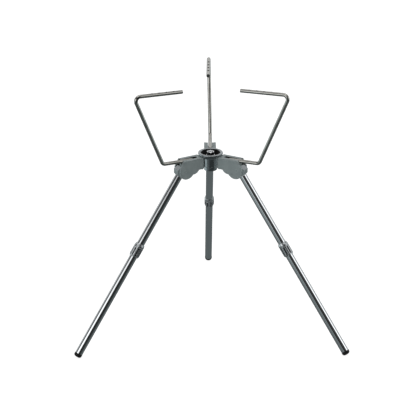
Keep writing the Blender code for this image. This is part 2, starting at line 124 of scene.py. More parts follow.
# Pot-support rod: corners of its centre line, from its hinge
ROD_LOW_BEND = (59.2, 3.3)
ROD_TOP_BEND = (118.1, 143.7)
ROD_TIP = (18.2, 137.0)
ROD_BEND_RADIUS = 8.0
ROD_HOLE_RADIUS = 1.7
ROD_HOLES_FROM_HINGE = (37.0, 52.0, 67.0, 82.0)
COUNTERSINK_DEPTH = 0.9

# How each rod stands off its arm's plane, in degrees towards the arm's +Y
ROD_LEAN = {"rear": 1.1, "left": 1.1, "right": 1.3}         # all of it, about its low run
ROD_TOP_TURN = {"rear": 0.5, "left": 0.0, "right": 0.0}     # its top run, past the bend
ROD_SWING = {"rear": -1.0, "left": 0.0, "right": 0.0}       # all of it, about the vertical at its hinge

# Camera, as a distance and a direction from the point it looks at
CAMERA_DISTANCE = 2.846
CAMERA_ELEVATION = 22.774
CAMERA_AZIMUTH = -0.93
CAMERA_ROLL = -0.088
CAMERA_LENS = 128.36
CAMERA_AIM_OFFSET = (-0.0011, 0.0, -0.010)     # from the middle of the tripod's height


# ---------------------------------------------------------------- the frame

def millimetres(corners):
    """A box's two corners in millimetres."""
    return [corner / MM for corner in corners]


def joint_place(name):
    return Vector(JOINTS[name]["pos_m"])


def arm_matrix(side):
    """Turns the arm's plane to the side's own azimuth."""
    pivot = joint_place(f"leg_{side}_fold")
    return Matrix.Rotation(math.atan2(pivot.y, pivot.x), 4, "Z")


def leg_matrix(side):
    """Origin on the leg's hinge, +Z up the leg, +Y along the hinge."""
    up = Vector(JOINTS[f"collar_{side}_turn"]["axis"]).normalized()
    across = Vector(JOINTS[f"leg_{side}_fold"]["axis"]).normalized()
    turn = Matrix((across.cross(up), across, up)).transposed().to_4x4()
    return Matrix.Translation(joint_place(f"leg_{side}_fold")) @ turn


def along_leg(node, side):
    """Where a CAD node starts and ends down its leg, and its largest radius, in millimetres."""
    inverse = leg_matrix(side).inverted()
    points = [inverse @ vert.co / MM for vert in frame["nodes"][node].data.vertices]
    depths = [-point.z for point in points]
    return min(depths), max(depths), max(math.hypot(point.x, point.y) for point in points)


# ---------------------------------------------------------------- mesh tools

def filleted(corners, closed=True, steps=5):
    """An outline from (x, y, radius) corners, each rounded by an arc of that radius."""
    line = []
    for i, (x, y, radius) in enumerate(corners):
        corner = Vector((x, y))
        if radius == 0 or (not closed and i in (0, len(corners) - 1)):
            line.append(corner)
            continue
        before = (Vector(corners[i - 1][:2]) - corner).normalized()
        after = (Vector(corners[(i + 1) % len(corners)][:2]) - corner).normalized()
        half = before.angle(after) / 2
        centre = corner + (before + after).normalized() * radius / math.sin(half)
        start = corner + before * radius / math.tan(half) - centre
        end = corner + after * radius / math.tan(half) - centre
        sweep = start.angle_signed(end)
        line += [centre + Matrix.Rotation(-sweep * k / steps, 2) @ start for k in range(steps + 1)]
    return line


def arc(centre, radius, start, end, steps):
    """Points on an arc, with angles in degrees, both ends included."""
    angles = [math.radians(start + (end - start) * i / steps) for i in range(steps + 1)]
    return [(centre[0] + radius * math.cos(a), centre[1] + radius * math.sin(a)) for a in angles]


def turned(profile, segments, closed=True):
    """Spins (radius, height) points about Z. An open profile starts and ends on the axis."""
    bm = bmesh.new()
    points = [bm.verts.new((radius, 0.0, height)) for radius, height in profile]
    pairs = list(zip(points, points[1:]))
    if closed:
        pairs.append((points[-1], points[0]))
    edges = [bm.edges.new(pair) for pair in pairs]
    bmesh.ops.spin(
        bm, geom=points + edges, cent=(0, 0, 0), axis=(0, 0, 1),
        angle=math.tau, steps=segments, use_merge=True,
    )
    bmesh.ops.remove_doubles(bm, verts=bm.verts, dist=0.0005)
    return bm


def plate(outline, half_width):
    """A closed outline in the XZ plane, extruded along Y to both sides."""
    bm = bmesh.new()
    face = bm.faces.new([bm.verts.new((x, -half_width, z)) for x, z in outline])
    swept = bmesh.ops.extrude_face_region(bm, geom=[face])
    moved = [item for item in swept["geom"] if isinstance(item, bmesh.types.BMVert)]
    bmesh.ops.translate(bm, vec=(0, 2 * half_width, 0), verts=moved)
    return bm


def cylinder(radius, start, end, segments, end_radius=None):
    """A round bar, or a cone, between two points."""
    start, end = Vector(start), Vector(end)
    bm = bmesh.new()
    turn = (end - start).to_track_quat("Z", "Y").to_matrix().to_4x4()
    bmesh.ops.create_cone(
        bm, cap_ends=True, segments=segments, radius1=radius,
        radius2=radius if end_radius is None else end_radius,
        depth=(end - start).length, matrix=Matrix.Translation((start + end) / 2) @ turn,
    )
    return bm


def finished_mesh(bm, name):
    """Turns a bmesh in millimetres into a mesh in metres, with outward faces."""
    bmesh.ops.recalc_face_normals(bm, faces=bm.faces)
    bmesh.ops.scale(bm, vec=(MM, MM, MM), verts=bm.verts)
    mesh = bpy.data.meshes.new(name)
    bm.to_mesh(mesh)
    bm.free()
    return mesh


def combined(name, base, added=(), removed=(), shared=()):
    """The base bmesh joined with, cut by or kept inside others, as one mesh."""
    body = bpy.data.objects.new("working_body", finished_mesh(base, name))
    bpy.context.collection.objects.link(body)
    tools = []
    for operation, others in (("UNION", added), ("INTERSECT", shared), ("DIFFERENCE", removed)):
        for other in others:
            tool = bpy.data.objects.new("working_tool", finished_mesh(other, "working_tool"))
            bpy.context.collection.objects.link(tool)
            change = body.modifiers.new("shape", "BOOLEAN")
            change.operation = operation
            change.object = tool
            tools.append(tool)
    bpy.context.view_layer.update()
    result = bpy.data.meshes.new_from_object(
        body.evaluated_get(bpy.context.evaluated_depsgraph_get())
    )
    result.name = name
    for thing in [*tools, body]:
        bpy.data.objects.remove(thing)
    result.materials.clear()
    return result


def painted(mesh, finishes, chosen):
    """Gives each face the finish whose number is chosen from the face's centre, in millimetres."""
    for finish in finishes:
        mesh.materials.append(finish)
    for face in mesh.polygons:
        face.material_index = int(chosen(face.center / MM))
    return mesh


def piece(name, mesh, finish, slot, body, nodes, matrix=None, bevel=0.0, smooth=34):
    """An object that rides on a body and stands for CAD nodes."""
    if not mesh.materials:
        mesh.materials.append(finish)
    mesh.shade_smooth()
    mesh.set_sharp_from_angle(angle=math.radians(smooth))
    made = bpy.data.objects.new(name, mesh)
    bpy.context.scene.collection.objects.link(made)
    made.matrix_world = matrix or Matrix.Identity(4)
    if bevel:
        edge = made.modifiers.new("edges", "BEVEL")
        edge.width = bevel * MM
        edge.segments = 3
        edge.limit_method = "ANGLE"
        edge.angle_limit = math.radians(smooth)
        edge.harden_normals = True
    else:
        # Keeps the shading of long faces straight up to their ends
        even = made.modifiers.new("normals", "WEIGHTED_NORMAL")
        even.keep_sharp = True
    # The castings' dark mirror images would hide the hub's shape
    made.visible_glossy = slot != "bracket_casting"
    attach(made, body)
    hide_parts(*nodes)
    return made


# ---------------------------------------------------------------- materials

def new_material(name, colour, roughness, metallic, **sockets):
    made = bpy.data.materials.new(name)
    made.use_nodes = True
    shader = made.node_tree.nodes["Principled BSDF"]
    shader.inputs["Base Color"].default_value = (*colour, 1.0)
    shader.inputs["Roughness"].default_value = roughness
    shader.inputs["Metallic"].default_value = metallic
    for socket, value in sockets.items():
        shader.inputs[socket.replace("_", " ")].default_value = value
    return made, made.node_tree, shader


def noise(tree, scale, detail=3.0, stretch=(1.0, 1.0, 1.0)):
    """Noise in the object's own metres. A small stretch value draws it out along that axis."""
    place = tree.nodes.new("ShaderNodeTexCoord")
    mapping = tree.nodes.new("ShaderNodeMapping")
    mapping.inputs["Scale"].default_value = stretch
    texture = tree.nodes.new("ShaderNodeTexNoise")
    texture.inputs["Scale"].default_value = scale
    texture.inputs["Detail"].default_value = detail
    tree.links.new(place.outputs["Object"], mapping.inputs["Vector"])
    tree.links.new(mapping.outputs["Vector"], texture.inputs["Vector"])
    return texture.outputs["Fac"]


def mapped(tree, source, low, high, to_low, to_high):
    """Source from low to high becomes to_low to to_high, clamped and eased."""
    node = tree.nodes.new("ShaderNodeMapRange")
    node.interpolation_type = "SMOOTHSTEP"
    for socket, value in zip(("From Min", "From Max", "To Min", "To Max"), (low, high, to_low, to_high)):
        node.inputs[socket].default_value = value
    tree.links.new(source, node.inputs["Value"])
    return node.outputs["Result"]


def maths(tree, operation, *values):
    node = tree.nodes.new("ShaderNodeMath")
    node.operation = operation
    for socket, value in zip(node.inputs, values):
        if isinstance(value, (int, float)):
            socket.default_value = value
        else:
            tree.links.new(value, socket)
    return node.outputs["Value"]


def mixed(tree, factor, first, second):
    """Colour first where factor is 0, second where it is 1. Each is a colour or an output."""
    node = tree.nodes.new("ShaderNodeMix")
    node.data_type = "RGBA"
    tree.links.new(factor, node.inputs["Factor"])
    for socket, value in ((node.inputs[6], first), (node.inputs[7], second)):
        if isinstance(value, tuple):
            socket.default_value = (*value, 1.0)
        else:
            tree.links.new(value, socket)
    return node.outputs[2]


def bumped(tree, shader, height, distance, strength=1.0):
    node = tree.nodes.new("ShaderNodeBump")
    node.inputs["Distance"].default_value = distance
    node.inputs["Strength"].default_value = strength
    tree.links.new(height, node.inputs["Height"])
    tree.links.new(node.outputs["Normal"], shader.inputs["Normal"])


def edge_wear(tree, radius, grain):
    """1 along convex and concave edges, broken up by noise, and 0 elsewhere."""
    bevel = tree.nodes.new("ShaderNodeBevel")
    bevel.samples = 4
    bevel.inputs["Radius"].default_value = radius
    geometry = tree.nodes.new("ShaderNodeNewGeometry")
    dot = tree.nodes.new("ShaderNodeVectorMath")
    dot.operation = "DOT_PRODUCT"
    tree.links.new(bevel.outputs["Normal"], dot.inputs[0])
    tree.links.new(geometry.outputs["Normal"], dot.inputs[1])
    edge = mapped(tree, dot.outputs["Value"], 0.995, 0.86, 0.0, 1.0)
    return maths(tree, "MULTIPLY", edge, mapped(tree, noise(tree, grain), 0.35, 0.6, 0.2, 1.0))


def tube_material():
    """Polished tube: fine lines along its length, small scuffs and a faint haze."""
    made, tree, shader = new_material("polished_tube", (0.74, 0.76, 0.77), 0.1, 1.0)
    lines = noise(tree, 900.0, 4.0, (1.0, 1.0, 0.015))
    haze = noise(tree, 45.0, 3.0, (1.0, 1.0, 0.3))
    colour = mixed(tree, mapped(tree, lines, 0.35, 0.7, 0.0, 1.0), (0.78, 0.80, 0.81), (0.68, 0.70, 0.71))
    tree.links.new(colour, shader.inputs["Base Color"])
    rough = maths(tree, "ADD", mapped(tree, lines, 0.3, 0.75, 0.06, 0.13),
                  mapped(tree, haze, 0.45, 0.75, 0.0, 0.07))
    tree.links.new(rough, shader.inputs["Roughness"])
    bumped(tree, shader, lines, 0.00001, 0.25)
    return made


def rod_material():
    """Ground stainless bar, a little warmer and less bright than the tubes."""
    made, tree, shader = new_material("rod_steel", (0.50, 0.49, 0.46), 0.16, 1.0)
    grain = noise(tree, 1500.0, 3.0)
    stain = noise(tree, 70.0, 4.0)
    colour = mixed(tree, mapped(tree, stain, 0.35, 0.7, 0.0, 1.0), (0.48, 0.47, 0.44), (0.38, 0.37, 0.34))
    tree.links.new(colour, shader.inputs["Base Color"])
    rough = maths(tree, "ADD", mapped(tree, grain, 0.3, 0.7, 0.06, 0.11),
                  mapped(tree, stain, 0.4, 0.75, 0.0, 0.05))
    tree.links.new(rough, shader.inputs["Roughness"])
    bumped(tree, shader, grain, 0.00001, 0.2)
    return made


def hub_material():
    """Gloss gunmetal: turning lines round the axis and bright worn edges."""
    made, tree, shader = new_material("gunmetal", (0.40, 0.43, 0.44), 0.2, 1.0)
    rings = noise(tree, 1400.0, 2.0, (0.02, 0.02, 1.0))
    cloud = noise(tree, 160.0, 4.0)
    worn = edge_wear(tree, 0.0005, 900.0)
    base = mixed(tree, mapped(tree, cloud, 0.35, 0.7, 0.0, 1.0), (0.42, 0.45, 0.46), (0.35, 0.38, 0.39))
    tree.links.new(mixed(tree, worn, base, (0.55, 0.57, 0.58)), shader.inputs["Base Color"])
    rough = maths(tree, "ADD", mapped(tree, rings, 0.3, 0.7, 0.14, 0.24),
                  mapped(tree, cloud, 0.4, 0.7, 0.0, 0.06))
    tree.links.new(rough, shader.inputs["Roughness"])
    bumped(tree, shader, rings, 0.00002, 0.3)
    return made


def casting_material(name):
    """Satin grey coat on a blasted casting: fine orange peel, pits and rubbed edges."""
    made, tree, shader = new_material(name, (0.26, 0.30, 0.30), 0.42, 0.4)
    grain = noise(tree, 2200.0, 2.0)
    pits = noise(tree, 700.0, 5.0)
    cloud = noise(tree, 90.0, 4.0)
    worn = edge_wear(tree, 0.0006, 1100.0)
    base = mixed(tree, mapped(tree, cloud, 0.3, 0.7, 0.0, 1.0), (0.27, 0.31, 0.31), (0.235, 0.275, 0.275))
    speck = mixed(tree, mapped(tree, pits, 0.64, 0.74, 0.0, 0.35), base, (0.13, 0.15, 0.15))
    tree.links.new(mixed(tree, worn, speck, (0.56, 0.60, 0.60)), shader.inputs["Base Color"])
    tree.links.new(mapped(tree, grain, 0.3, 0.7, 0.36, 0.5), shader.inputs["Roughness"])
    height = maths(tree, "ADD", maths(tree, "MULTIPLY", pits, 0.6), maths(tree, "MULTIPLY", grain, 0.4))
    bumped(tree, shader, height, 0.00008, 0.45)
    return made


def collar_plating_and_shade_material(name, light, dark, edge):
    """Plated collar with polish marks and rubbed ridges. With dark colours it is the painted shade in the
    flute valleys.
    """
    made, tree, shader = new_material(name, light, 0.25, 0.95)
    grain = noise(tree, 1300.0, 3.0, (1.0, 1.0, 0.15))
    cloud = noise(tree, 220.0, 3.0)
    worn = edge_wear(tree, 0.0004, 1200.0)
    base = mixed(tree, mapped(tree, cloud, 0.35, 0.7, 0.0, 1.0), light, dark)
    tree.links.new(mixed(tree, worn, base, edge), shader.inputs["Base Color"])
    tree.links.new(mapped(tree, grain, 0.3, 0.75, 0.22, 0.34), shader.inputs["Roughness"])
    bumped(tree, shader, grain, 0.00002, 0.3)
    return made


def fastener_material(name, light, dark):
    """Plated steel with fine turning marks."""
    made, tree, shader = new_material(name, light, 0.25, 1.0)
    grain = noise(tree, 1600.0, 3.0, (1.0, 1.0, 0.3))
    worn = edge_wear(tree, 0.0003, 1400.0)
    base = mixed(tree, mapped(tree, grain, 0.35, 0.7, 0.0, 1.0), light, dark)
    bright = tuple(min(1.0, 1.25 * value) for value in light)
    tree.links.new(mixed(tree, worn, base, bright), shader.inputs["Base Color"])
    tree.links.new(mapped(tree, grain, 0.3, 0.7, 0.18, 0.32), shader.inputs["Roughness"])
    bumped(tree, shader, grain, 0.00002, 0.3)
    return made


def hole_shade_material():
    """Near-black painted shade for a drilled hole's wall and most of its countersink, with tool marks."""
    made, tree, shader = new_material("hole_wall_painted_shade", (0.04, 0.04, 0.04), 0.6, 0.3)
    marks = noise(tree, 2500.0, 2.0)
    colour = mixed(tree, mapped(tree, marks, 0.35, 0.7, 0.0, 1.0),
                   (0.025, 0.025, 0.024), (0.06, 0.058, 0.055))
    tree.links.new(colour, shader.inputs["Base Color"])
    bumped(tree, shader, marks, 0.00003, 0.4)
    return made


def rubber_and_shade_material(name):
    """Dull black with a fine matt grain and dusty scuffs: the feet's rubber, and the painted shade inside
    the brackets.
    """
    made, tree, shader = new_material(name, (0.006, 0.006, 0.006), 0.5, 0.0,
                                      Specular_IOR_Level=0.3)
    grain = noise(tree, 1800.0, 4.0)
    dust = noise(tree, 260.0, 5.0)
    colour = mixed(tree, mapped(tree, dust, 0.5, 0.8, 0.0, 1.0),
                   (0.005, 0.005, 0.005), (0.018, 0.017, 0.016))
    tree.links.new(colour, shader.inputs["Base Color"])
    tree.links.new(mapped(tree, dust, 0.35, 0.75, 0.42, 0.65), shader.inputs["Roughness"])
    bumped(tree, shader, grain, 0.00006, 0.5)
    return made


def liner_material():
    """Black satin plastic with a moulded grain."""
    made, tree, shader = new_material("black_liner", (0.004, 0.004, 0.004), 0.7, 0.0,
                                      Specular_IOR_Level=0.12)
    grain = noise(tree, 1500.0, 3.0)
    colour = mixed(tree, mapped(tree, grain, 0.4, 0.75, 0.0, 1.0),
                   (0.003, 0.003, 0.003), (0.007, 0.007, 0.007))
    tree.links.new(colour, shader.inputs["Base Color"])
    tree.links.new(mapped(tree, grain, 0.3, 0.7, 0.62, 0.8), shader.inputs["Roughness"])
    bumped(tree, shader, grain, 0.00005, 0.4)
    return made


# ---------------------------------------------------------------- hub

def hex_bar(corner, height, middle_z):
    """A six-sided bar about Z. Corner is its radius over the corners."""
    bm = bmesh.new()
    bmesh.ops.create_cone(bm, cap_ends=True, segments=6, radius1=corner, radius2=corner, depth=height,
                          matrix=Matrix.Translation((0, 0, middle_z)))
    return bm


def threaded_stud(radius, bottom, top, pitch, depth, segments=40, rows_per_pitch=6):
    """A stud with a helical thread that fades out at both ends, and a chamfered tip."""
    chamfer = 0.5
    rows = round((top - chamfer - bottom) / pitch * rows_per_pitch)
    profile = [(0.0, bottom)]
    profile += [(radius, bottom + (top - chamfer - bottom) * i / rows) for i in range(rows + 1)]
    profile += [(radius - chamfer, top), (0.0, top)]
    bm = turned(profile, segments, closed=False)
    for vert in bm.verts:
        reach = math.hypot(vert.co.x, vert.co.y)
        if reach < radius - 0.01:
            continue
        turn = math.atan2(vert.co.y, vert.co.x) / math.tau
        phase = ((vert.co.z - bottom) / pitch - turn) % 1.0
        fade = min(1.0, (vert.co.z - bottom) / pitch, (top - chamfer - vert.co.z) / pitch + 0.5)
        groove = depth * abs(2 * phase - 1) * max(0.0, fade)
        vert.co.xy *= (reach - groove) / reach
    return bm


def hub_shell_mesh(finish):
    """Rim and bowl on a narrow barrel, with a keyway for each bracket's tongue."""
    low, high = millimetres(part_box("hub_body"))
    barrel_radius = millimetres(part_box("hub_base_plate"))[1].x
    rim_radius = high.x + RIM_EXTRA
    top = high.z
    profile = filleted([
        (BORE_RADIUS, top - CUP_DEPTH, 0.2), (CUP_FLOOR_RADIUS, top - CUP_DEPTH, 1.2),
        (CUP_RADIUS, top, 0.35), (rim_radius, top, 0.9), (rim_radius, RIM_BOTTOM_Z, 0.9),
        (barrel_radius, BARREL_TOP_Z, 2.5), (barrel_radius, low.z, 0.35), (BORE_RADIUS, low.z, 0.0),
    ])
    keyways = []
    for side in SIDES:
        keyway = plate([(8.0, -10.5), (barrel_radius + 2, -10.5), (barrel_radius + 2, low.z - 2),
                        (8.0, low.z - 2)], TONGUE_HALF_WIDTH + 0.3)
        bmesh.ops.transform(keyway, matrix=arm_matrix(side), verts=keyway.verts)
        keyways.append(keyway)
    return painted(
        combined("hub_shell", turned(profile, 120), removed=keyways), (finish["hub"], finish["rim"]),
        lambda at: at.z > top - 0.8 and math.hypot(at.x, at.y) > CUP_RADIUS - 0.2,
    )


def hub_cover_mesh():
    """The end cover, with a recess for the bolt's head."""
    low, high = millimetres(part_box("hub_base_plate"))
    bottom = low.z - BASE_EXTRA
    recess = 7.2
    seat = low.z + 3.4
    cover = turned(filleted([
        (BORE_RADIUS, high.z, 0.0), (high.x, high.z, 0.35), (high.x, bottom, 1.3),
        (recess, bottom, 0.4), (recess, seat, 0.3), (BORE_RADIUS, seat, 0.0),
    ]), 120)
    return finished_mesh(cover, "hub_end_cover")


def hub_bolt_mesh():
    """A round head with a hex socket, a plain neck and a threaded stud."""
    low, high = millimetres(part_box("hub_bolt"))
    radius = 4.0
    head_top = low.z + 3.0
    head = turned(filleted([
        (0.0, low.z, 0), (high.x, low.z, 0.9), (high.x, head_top, 0.4), (radius, head_top, 0.3),
        (radius, STUD_START_Z, 0.0), (radius - 0.6, STUD_START_Z - 0.6, 0.0),
        (0.0, STUD_START_Z - 0.6, 0),
    ], closed=False), 64, closed=False)
    stud = threaded_stud(radius, STUD_START_Z, high.z, pitch=1.25, depth=0.55)
    return combined("hub_bolt_threaded", head, added=[stud], removed=[hex_bar(3.3, 4.0, low.z)])


def hub_nut_mesh():
    """A hex nut with turned corners at both faces and a chamfered hole."""
    low, high = millimetres(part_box("hub_nut"))
    corner = (high.y - low.y) / 2
    flat = corner * math.cos(math.pi / 6)
    prism = hex_bar(corner, high.z - low.z, (high.z + low.z) / 2)
    washer_face = flat - 0.25
    drop = (corner - flat + 0.25) * math.tan(math.radians(30))
    rounding = turned([
        (0.0, low.z - 0.01), (washer_face, low.z - 0.01), (corner + 0.1, low.z + drop),
        (corner + 0.1, high.z - drop), (washer_face, high.z + 0.01), (0.0, high.z + 0.01),
    ], 72, closed=False)
    thread, chamfer = 4.25, 4.9
    thread_hole = turned([
        (0.0, low.z - 1), (chamfer, low.z - 1), (chamfer, low.z), (thread, low.z + 0.6),
        (thread, high.z - 0.6), (chamfer, high.z), (chamfer, high.z + 1), (0.0, high.z + 1),
    ], 48, closed=False)
    return combined("hub_hex_nut", prism, removed=[thread_hole], shared=[rounding])


def hub_washer_mesh():
    low, high = millimetres(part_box("hub_washer"))
    washer = turned(filleted([
        (BORE_RADIUS, low.z, 0.1), (high.x, low.z, 0.25), (high.x, high.z, 0.25),
        (BORE_RADIUS, high.z, 0.1),
    ]), 72)
    return finished_mesh(washer, "hub_flat_washer")


def hub_lining_mesh():
    """The bowl's black lining, a thin dish with a rounded lip."""
    low, high = millimetres(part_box("hub_cup_liner"))
    thickness = 0.9
    floor_radius = CUP_FLOOR_RADIUS - 0.4
    liner = turned(filleted([
        (BORE_RADIUS, low.z, 0.1), (floor_radius, low.z, 1.0), (high.x + 0.4, high.z, 0.2),
        (high.x - 0.7, high.z, 0.3), (floor_radius - 0.6, low.z + thickness, 0.8),
        (BORE_RADIUS, low.z + thickness, 0.1),
    ]), 96)
    return finished_mesh(liner, "hub_cup_lining")


def build_hub(finish):
    """The turned stack on the hub's axis."""
    rows = (
        # name, mesh, finish, slot, CAD node, smoothing angle
        ("hub_shell", hub_shell_mesh(finish), "hub", "hub_metal", "hub_body", 30),
        ("hub_end_cover", hub_cover_mesh(), "hub", "hub_metal", "hub_base_plate", 34),
        ("hub_bolt_threaded", hub_bolt_mesh(), "fastener", "bright_steel", "hub_bolt", 34),
        ("hub_hex_nut", hub_nut_mesh(), "fastener", "bright_steel", "hub_nut", 25),
        ("hub_flat_washer", hub_washer_mesh(), "fastener", "bright_steel", "hub_washer", 34),
        ("hub_cup_lining", hub_lining_mesh(), "liner", "black_liner", "hub_cup_liner", 34),
    )
    for name, mesh, look, slot, node, smooth in rows:
        piece(name, mesh, finish[look], slot, "hub", [node], smooth=smooth)


# ---------------------------------------------------------------- brackets

def rod_axis_z(x, pivot):
    """Height of the rod's centre line in its slot."""
    return pivot[1] + ROD_LOW_BEND[1] / ROD_LOW_BEND[0] * (x - pivot[0])


def bracket_mesh(pivots, finish):
    """The casting: a plate with lobes, a slot for the rod, a cavity for the leg head, and its root. The
    slot's and cavity's inner walls get a near-black painted shade.
    """
    low, high = millimetres(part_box("bracket_rear"))
    half_width, end_x, top_z = high.x, high.y, high.z
    lobe_radius = LOBE_CENTRE[1] - low.z
    outline = [
        (BRACKET_ROOT_X, top_z), (CHAMFER_START_X, top_z), (end_x, CHAMFER_END_Z),
        (end_x, BRACKET_END_BOTTOM_Z), *arc(LOBE_CENTRE, lobe_radius, -45.0, -145.0, 30),
        *arc(SCALLOP_CENTRE, SCALLOP_RADIUS, -86.0, -152.0, 20),
        (BRACKET_ROOT_X + 4, -25.8), (BRACKET_ROOT_X, -26.6),
    ]
    barrel = millimetres(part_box("hub_base_plate"))[1].x
    neck_start = barrel + 0.3
    inside = BRACKET_ROOT_X + 1.0
    neck = plate([(neck_start, -10.8), (BRACKET_ROOT_X - 0.4, -5.2), (inside, -5.2),
                  (inside, -26.2), (neck_start, -26.6)], NECK_HALF_WIDTH)
    wedge = plate([(WEDGE_START_X, -5.6), (BRACKET_ROOT_X + 0.2, top_z), (BRACKET_ROOT_X + 0.2, -26.3),
                   (WEDGE_START_X, -26.0)], half_width)
    for vert in wedge.verts:
        if vert.co.x < BRACKET_ROOT_X:
            vert.co.y *= WEDGE_HALF_WIDTH / half_width
    tongue = plate([(8.3, -10.9), (neck_start + 1, -10.9), (neck_start + 1, -26.5), (8.3, -26.5)],
                   TONGUE_HALF_WIDTH)
    beyond = end_x + 5
    rest_drop = millimetres(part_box("rod_rear"))[1].x + 0.3
    rod_pivot = pivots["rod"]
    slot_x = SLOT_START_X + SLOT_HALF_WIDTH
    slot = plate([
        (slot_x, 2.0), (beyond, 2.0), (beyond, WEB_UNDERSIDE_Z - 0.5),
        (WEB_END_X, WEB_UNDERSIDE_Z - 0.5), (WEB_END_X, rod_axis_z(WEB_END_X, rod_pivot) - rest_drop),
        (WEB_START_X, rod_axis_z(WEB_START_X, rod_pivot) - rest_drop), (WEB_START_X, SLOT_FLOOR_Z),
        (slot_x, SLOT_FLOOR_Z),
    ], SLOT_HALF_WIDTH)
    slot_end = cylinder(SLOT_HALF_WIDTH, (slot_x, 0, SLOT_FLOOR_Z), (slot_x, 0, 2.0), 48)
    cavity = plate([
        (CAVITY_START_X, WEB_UNDERSIDE_Z), (WEB_END_X + 0.3, WEB_UNDERSIDE_Z),
        (WEB_END_X + 0.3, 3.0), (beyond + 1, 3.0), (beyond + 1, -45.0), (CAVITY_START_X, -45.0),
    ], CAVITY_HALF_WIDTH)
    through = half_width + 2
    holes = [
        cylinder(radius + PIN_CLEARANCE, (x, -through, z), (x, through, z), 40)
        for radius, (x, z) in ((LEG_PIN_RADIUS, pivots["leg"]), (ROD_PIN_RADIUS, pivots["rod"]))
    ]

    def part(at):
        """1 on the neck, 2 inside the slot and the cavity, where the near-black painted shade goes, 0
        elsewhere.
        """
        if at.x < WEDGE_START_X - 0.1:
            return 1
        in_slot = at.x > SLOT_START_X - 0.1 and abs(at.y) < SLOT_HALF_WIDTH + 0.02
        in_cavity = at.x > CAVITY_START_X - 0.1 and abs(at.y) < CAVITY_HALF_WIDTH + 0.02
        inside = in_cavity or (in_slot and at.z > SLOT_FLOOR_Z - 0.1)
        return 2 if inside and at.z < top_z - 0.2 else 0

    # Faces inside the slot and cavity take the near-black painted shade
    casting = combined("bracket_casting", plate(outline, half_width), added=[wedge, neck, tongue],
                       removed=[slot, slot_end, cavity, *holes])
    return painted(casting, (finish["casting"], finish["hub"], finish["inside"]), part)


def leg_head_mesh(pivots, leg_angle, finish):
    """The knuckle on the hinge, with a sloped ledge and a spigot for the tube. The ledge takes the
    lighter, glossier rim finish as a painted highlight.
    """
    end_x = millimetres(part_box("bracket_rear"))[1].y
    along = Vector((math.sin(leg_angle), 0, -math.cos(leg_angle)))
    across = Vector((-along.z, 0, along.x))
    origin = Vector((pivots["leg"][0], 0, pivots["leg"][1]))
    tube_radius = along_leg("upper_tube_rear", "rear")[2]
    shoulder = origin + along * HEAD_SHOULDER_T
    outer = shoulder + across * tube_radius
    inner = shoulder - across * tube_radius
    step_x = WEB_END_X + 0.6
    nose_x = end_x + HEAD_NOSE
    body = plate([
        (nose_x, LEDGE_LOW_Z), (LEDGE_START_X, LEDGE_TOP_Z), (step_x, CHAMFER_END_Z),
        (step_x, origin.z + HEAD_KNUCKLE_RADIUS),
        *arc((origin.x, origin.z), HEAD_KNUCKLE_RADIUS, 90.0, 225.0, 30),
        (inner.x, inner.z), (outer.x, outer.z), (nose_x, outer.z + 2.4),
    ], HEAD_HALF_WIDTH)
    spigot = cylinder(SPIGOT_RADIUS, shoulder - along * 4, shoulder + along * 20, 48)
    through = HEAD_HALF_WIDTH + 2
    hole = cylinder(LEG_PIN_RADIUS + PIN_CLEARANCE, origin + Vector((0, -through, 0)),
                    origin + Vector((0, through, 0)), 40)
    # The ledge's faces take the rim finish, a painted highlight for the light that falls on the ledge
    return painted(
        combined("leg_head_casting", body, added=[spigot], removed=[hole]),
        (finish["casting"], finish["rim"]),
        lambda at: at.x > LEDGE_START_X and LEDGE_LOW_Z < at.z < LEDGE_TOP_Z
        and abs(at.y) < HEAD_HALF_WIDTH - 0.5,
    )


def pin_mesh(name, radius, half_length, place):
    """A flush pin with a rounded edge at each end."""
    profile = filleted([
        (0.0, -half_length, 0), (radius, -half_length, 0.2), (radius, half_length, 0.2),
        (0.0, half_length, 0),
    ], closed=False, steps=3)
    bm = turned(profile, 40, closed=False)
    turn = Matrix.Translation((place[0], 0, place[1])) @ Matrix.Rotation(math.pi / 2, 4, "X")
    bmesh.ops.transform(bm, matrix=turn, verts=bm.verts)
    return finished_mesh(bm, name)


# ---------------------------------------------------------------- rods

def rod_centre_line(radius):
    """Places from the rounded hinge end to the tip, each with its share of the bar's radius."""
    inwards = -Vector(ROD_LOW_BEND).normalized()
    dome = [(inwards + inwards * radius * math.sin(math.radians(a)), math.cos(math.radians(a)))
            for a in (88, 75, 60, 45, 30, 15, 0)]
    bends = filleted([
        (0.0, 0.0, 0.0), (*ROD_LOW_BEND, ROD_BEND_RADIUS), (*ROD_TOP_BEND, ROD_BEND_RADIUS),
        (*ROD_TIP, 0.0)], closed=False, steps=14)[1:-1]
    tip = Vector(ROD_TIP)
    top_run = (tip - Vector(ROD_TOP_BEND)).normalized()
    end = [(tip - top_run * 0.45, 1.0), (tip - top_run * 0.13, 0.95), (tip, 0.85)]
    return dome + [(place, 1.0) for place in bends] + end


def swept_bar(line, radius, aside, sides=32):
    """A round bar along a line in the XZ plane. Aside gives its offset along Y at a place."""
    bm = bmesh.new()
    rings = []
    for i, (place, share) in enumerate(line):
        before = line[max(0, i - 1)][0]
        after = line[min(len(line) - 1, i + 1)][0]
        tangent = (after - before).normalized()
        normal = Vector((-tangent.y, tangent.x))
        ring = []
        for k in range(sides):
            turn = math.tau * k / sides
            flat = place + normal * radius * share * math.cos(turn)
            y = aside(place) + radius * share * math.sin(turn)
            ring.append(bm.verts.new((flat.x, y, flat.y)))
        rings.append(ring)
    for first, second in zip(rings, rings[1:]):
        for k in range(sides):
            bm.faces.new((first[k], first[(k + 1) % sides], second[(k + 1) % sides], second[k]))
    bm.faces.new(rings[0])
    bm.faces.new(rings[-1])
    return bm


